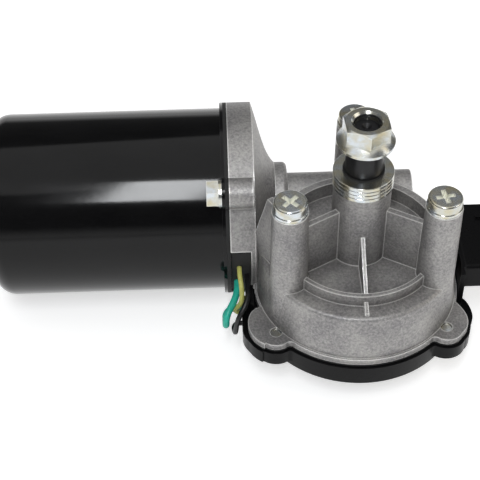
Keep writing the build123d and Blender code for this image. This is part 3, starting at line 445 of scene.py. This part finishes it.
def wireSkin(name, colour, grime, sizes=skinSizes):
    # extruded insulation: soft sheen, a little handling grime
    made = Finish(name)
    draw = made.noise(sizes["draw"], 2.0, (1.0, 1.0, 0.35))
    soil = made.noise(sizes["soil"], 4.0)
    base = made.ramp(draw, (0.3, scaled(colour, 0.82)), (0.7, colour))
    stain = made.ramp(soil, (0.52, 0.0), (0.74, 0.55))
    made.set(BaseColor=made.mix(stain, base, grime), Roughness=draw * 0.16 + sizes["roughness"],
             SpecularIORLevel=sizes["gloss"], Normal=made.bump(draw, sizes["relief"], sizes["depth"]))
    return made.material


motorLine = (0.0, 0.0319, -0.0356)
shaftLine = (0.0, 0.0, 0.0)
slotFinish = {
    "cast_aluminium": castMetal("castAluminium", castSizes),
    "black_paint": glossPaint("blackPaint", paintSizes),
    "black_plastic": mouldedPlastic("blackPlastic", (0.0026, 0.0026, 0.003), 0.30, gloss=0.12),
    "black_rubber": softRubber("blackRubber", (0.012, 0.012, 0.012)),
    "zinc_steel": platedSteel("zincSteel", platedSizes),
    "dark_steel": turnedMetal("darkSteel", (0.018, 0.018, 0.02), 0.34, shaftLine, 2,
                              metallic=0.45, pitch=0.0003, glintAndWear=(0.09, 0.09, 0.092)),
    "bright_steel": turnedMetal("brightSteel", (0.62, 0.62, 0.63), 0.26, motorLine, 0),
    "spring_steel": drawnWire("springSteel", (0.34, 0.35, 0.38), 0.34),
    "lamination_steel": sheetStack("laminationSteel", stackSizes),
    "ferrite": sinteredBlock("ferrite", (0.055, 0.052, 0.055), (0.10, 0.095, 0.10), 0.0, 0.62),
    "copper": drawnWire("copper", (0.72, 0.31, 0.16), 0.32),
    "brass": drawnWire("brass", (0.66, 0.49, 0.21), 0.32),
    "bronze": sinteredBlock("bronze", (0.46, 0.29, 0.15), (0.17, 0.095, 0.05), 1.0, 0.45, grain=2600.0),
    "phenolic": boardResin("phenolic", boardSizes),
    "carbon": sinteredBlock("carbon", (0.02, 0.02, 0.021), (0.30, 0.15, 0.09), 0.2, 0.55, grain=2400.0),
    "gear_plastic": mouldedPlastic("gearPlastic", (0.62, 0.59, 0.50), 0.38,
                                   grain=1500.0, relief=0.08),
    "thrust_plastic": mouldedPlastic("thrustPlastic", (0.09, 0.10, 0.11), 0.36,
                                     grain=1500.0, relief=0.08),
    "green_insulation": wireSkin("greenInsulation", (0.03, 0.56, 0.41), (0.03, 0.26, 0.19)),
    "yellow_insulation": wireSkin("yellowInsulation", (0.62, 0.62, 0.17), (0.25, 0.24, 0.09)),
    "black_insulation": wireSkin("blackInsulation", (0.008, 0.008, 0.009), (0.02, 0.02, 0.02)),
}
slotOf = {row["node"]: row["material_slot"] for row in record["subparts"]}
for name, thing in nodes.items():
    thing.data.materials.clear()
    thing.data.materials.append(slotFinish[slotOf[name]])
print("finishes set")


# grown pieces

class Grower:
    # a Geometry Nodes tree with named sizes, run once and kept as a plain mesh
    def __init__(self, name, sizes):
        self.name, self.sizes = name, sizes
        self.tree = bpy.data.node_groups.new(name, "GeometryNodeTree")
        self.keys = {}
        for label, value in sizes.items():
            kind = "NodeSocketInt" if isinstance(value, int) else "NodeSocketFloat"
            socket = self.tree.interface.new_socket(label, in_out="INPUT", socket_type=kind)
            self.keys[label] = socket.identifier
        self.tree.interface.new_socket("Geometry", in_out="OUTPUT", socket_type="NodeSocketGeometry")
        self.inner = self.tree.nodes.new("NodeGroupInput")

    def size(self, label):
        return Value(self.tree, self.inner.outputs[label])

    def node(self, kind, settings=None, pick=None, **values):
        node = self.tree.nodes.new(kind)
        for key, item in (settings or {}).items():
            setattr(node, key, item)
        for key, item in values.items():
            put(self.tree, socketOf(node.inputs, key), item)
        return Value(self.tree, socketOf(node.outputs, pick) if pick else node.outputs[0])

    def grow(self, result, finish, body, slot):
        whole = self.node("GeometryNodeRealizeInstances", Geometry=result)
        coated = self.node("GeometryNodeSetMaterial", Geometry=whole, Material=finish)
        out = self.tree.nodes.new("NodeGroupOutput")
        put(self.tree, out.inputs[0], coated)
        holder = bpy.data.objects.new(self.name, bpy.data.meshes.new(self.name))
        bpy.context.scene.collection.objects.link(holder)
        runner = holder.modifiers.new("grow", "NODES")
        runner.node_group = self.tree
        for label, value in self.sizes.items():
            runner[self.keys[label]] = value
        graph = bpy.context.evaluated_depsgraph_get()
        plain = bpy.data.meshes.new_from_object(holder.evaluated_get(graph))
        holder.modifiers.remove(runner)
        holder.data = plain
        plain.name = self.name
        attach(holder, body)
        return holder


# thread seen in the nut's open end; its dark steel colour is painted shade inside the nut's bore
nutThreadSizes = {
    "Pitch": 0.00125, "Turns": 1.05, "Radius": 0.00404, "Ridge": 0.00036, "Start": 0.02120,
    "Steps": 64, "Sides": 4,
}


def growNutThread(sizes, finish):
    made = Grower("nut_thread", sizes)
    path = made.node("GeometryNodeCurveSpiral", Resolution=made.size("Steps"), Rotations=made.size("Turns"),
                     StartRadius=made.size("Radius"), EndRadius=made.size("Radius"),
                     Height=made.size("Pitch") * made.size("Turns"))
    lift = made.node("ShaderNodeCombineXYZ", Z=made.size("Start"))
    path = made.node("GeometryNodeSetPosition", Geometry=path, Offset=lift)
    path = made.node("GeometryNodeSetCurveNormal", {"mode": "Z_UP"}, Curve=path)
    ridge = made.node("GeometryNodeCurvePrimitiveCircle", Resolution=made.size("Sides"),
                      Radius=made.size("Ridge"))
    solid = made.node("GeometryNodeCurveToMesh", Curve=path, ProfileCurve=ridge, FillCaps=True)
    made.grow(solid, finish, "output", "dark_steel")


growNutThread(nutThreadSizes, slotFinish["dark_steel"])
print("thread grown")


# brush springs, with closed end turns

springSizes = {
    "Radius": 0.0020, "Wire": 0.00035, "Turns": 6.5, "Closed turns": 1.25, "Closed rise": 2.1,
    "Steps": 160, "Sides": 10,
}


def growSpring(name, node, joint, sizes, finish):
    way = Vector(joint["axis"])
    start = Vector(motorLine)
    reach = [(v.co - start).dot(way) for v in nodes[node].data.vertices]
    low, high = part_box(node)
    length = max(reach) - min(reach)
    foot = start + way * min(reach)
    end = start + way * max(reach)
    foot.x = end.x = (low[0] + high[0]) / 2
    made = Grower(name, sizes | {
        "Length": length, "Tilt": math.atan2(-way.y, way.z),
        "Foot X": foot.x, "Foot Y": foot.y, "Foot Z": foot.z,
    })
    turns, wire = made.size("Turns"), made.size("Wire")
    ring = made.node("GeometryNodeCurveSpiral", Resolution=made.size("Steps") / turns, Rotations=turns,
                     StartRadius=made.size("Radius"), EndRadius=made.size("Radius"), Height=0.0)
    along = made.node("GeometryNodeSplineParameter", pick="Factor")
    closed = made.size("Closed turns") / turns
    step = wire * made.size("Closed rise")
    rise = wire
    for fromLow, fromHigh, height in (
        (0.0, closed, step),
        (closed, 1 - closed, made.size("Length") - wire * 2 - step * 2),
        (1 - closed, 1.0, step),
    ):
        rise = rise + made.node("ShaderNodeMapRange", Value=along,
                                FromMin=fromLow, FromMax=fromHigh, ToMax=height)
    lift = made.node("ShaderNodeCombineXYZ", Z=rise)
    path = made.node("GeometryNodeSetPosition", Geometry=ring, Offset=lift)
    path = made.node("GeometryNodeSetCurveNormal", {"mode": "Z_UP"}, Curve=path)
    section = made.node("GeometryNodeCurvePrimitiveCircle", Resolution=made.size("Sides"), Radius=wire)
    coil = made.node("GeometryNodeCurveToMesh", Curve=path, ProfileCurve=section, FillCaps=True)
    tilt = made.node("ShaderNodeCombineXYZ", X=made.size("Tilt"))
    place = made.node("ShaderNodeCombineXYZ",
                      X=made.size("Foot X"), Y=made.size("Foot Y"), Z=made.size("Foot Z"))
    coil = made.node("GeometryNodeTransform", Geometry=coil, Translation=place, Rotation=tilt)
    spring = made.grow(coil, finish, "frame", "spring_steel")
    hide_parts(node)
    (length - joint["range_m"][1]) / length
    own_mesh(spring)


jointOf = {row["name"]: row for row in record["behaviour"]["joints"]}
for speed in ("low", "common", "high"):
    growSpring(f"coil_spring_{speed}", f"brush_spring_{speed}", jointOf[f"{speed}_brush_slide"],
               springSizes, slotFinish["spring_steel"])
print("springs grown")


# stage

stageSizes = {
    "floor": 8.0, "gap": 0.0005, "tone": 0.82, "glow": 0.58, "roughness": 0.95,
    "sky": 0.12, "horizon": 0.95, "fade": (0.03, 0.2),
    "lamps": (
        # name, place, aim, width, depth, power, colour
        ("keyLight", (-0.100, -0.450, 0.620), (-0.050, 0.0, -0.02), 0.10, 0.34, 2.7, (0.96, 0.98, 1.0)),
        ("warmLight", (0.75, -0.10, 0.55), (0, 0, -0.02), 0.5, 0.5, 1.4, (1.0, 0.93, 0.82)),
        ("topLight", (-0.10, 0.10, 1.10), (0, 0, -0.02), 1.7, 1.0, 4.6, (1.0, 1.0, 1.0)),
    ),
}


def makeStage(sizes):
    floor = Finish("stageWhite")
    tree = floor.tree
    glow = floor.node("Emission", Color=(1, 1, 1), Strength=sizes["glow"])
    floor.set(BaseColor=(sizes["tone"],) * 3, Roughness=sizes["roughness"])
    both = tree.nodes.new("ShaderNodeAddShader")
    tree.links.new(floor.shader.outputs[0], both.inputs[0])
    tree.links.new(glow.socket, both.inputs[1])
    path = tree.nodes.new("ShaderNodeLightPath")
    seen = Value(tree, path.outputs["Is Camera Ray"])
    for other in ("Is Glossy Ray", "Is Transmission Ray"):
        seen = seen.step("MAXIMUM", Value(tree, path.outputs[other]))
    pick = tree.nodes.new("ShaderNodeMixShader")
    put(tree, pick.inputs[0], seen)
    tree.links.new(floor.shader.outputs[0], pick.inputs[1])
    tree.links.new(both.outputs[0], pick.inputs[2])
    tree.links.new(pick.outputs[0], tree.nodes["Material Output"].inputs[0])
    half = sizes["floor"] / 2
    mesh = bpy.data.meshes.new("stageFloor")
    level = cadBox[0][2] - sizes["gap"]
    corners = ((-half, -half), (half, -half), (half, half), (-half, half))
    mesh.from_pydata([(*corner, level) for corner in corners], [], [(0, 1, 2, 3)])
    plane = bpy.data.objects.new("stageFloor", mesh)
    bpy.context.scene.collection.objects.link(plane)
    mesh.materials.append(floor.material)

    world = bpy.data.worlds.new("stageSky")
    world.use_nodes = True
    sky = world.node_tree
    coords = sky.nodes.new("ShaderNodeTexCoord")
    split = sky.nodes.new("ShaderNodeSeparateXYZ")
    sky.links.new(coords.outputs["Generated"], split.inputs[0])
    fade = sky.nodes.new("ShaderNodeValToRGB")
    tones = (sizes["horizon"], sizes["sky"])
    for stop, position, tone in zip(fade.color_ramp.elements, sizes["fade"], tones):
        stop.position, stop.color = position, shade(tone)
    sky.links.new(split.outputs["Z"], fade.inputs[0])
    sky.links.new(fade.outputs[0], sky.nodes["Background"].inputs["Color"])
    sky.nodes["Background"].inputs["Strength"].default_value = 1.0
    bpy.context.scene.world = world

    for name, place, aim, width, depth, power, colour in sizes["lamps"]:
        data = bpy.data.lights.new(name, "AREA")
        data.shape = "RECTANGLE"
        data.energy, data.size, data.size_y, data.color = power, width, depth, colour
        lamp = bpy.data.objects.new(name, data)
        lamp.location = place
        lamp.rotation_euler = (Vector(aim) - Vector(place)).to_track_quat("-Z", "Y").to_euler()
        bpy.context.scene.collection.objects.link(lamp)


makeStage(stageSizes)
bpy.context.scene.view_settings.view_transform = "Standard"
print("stage set")
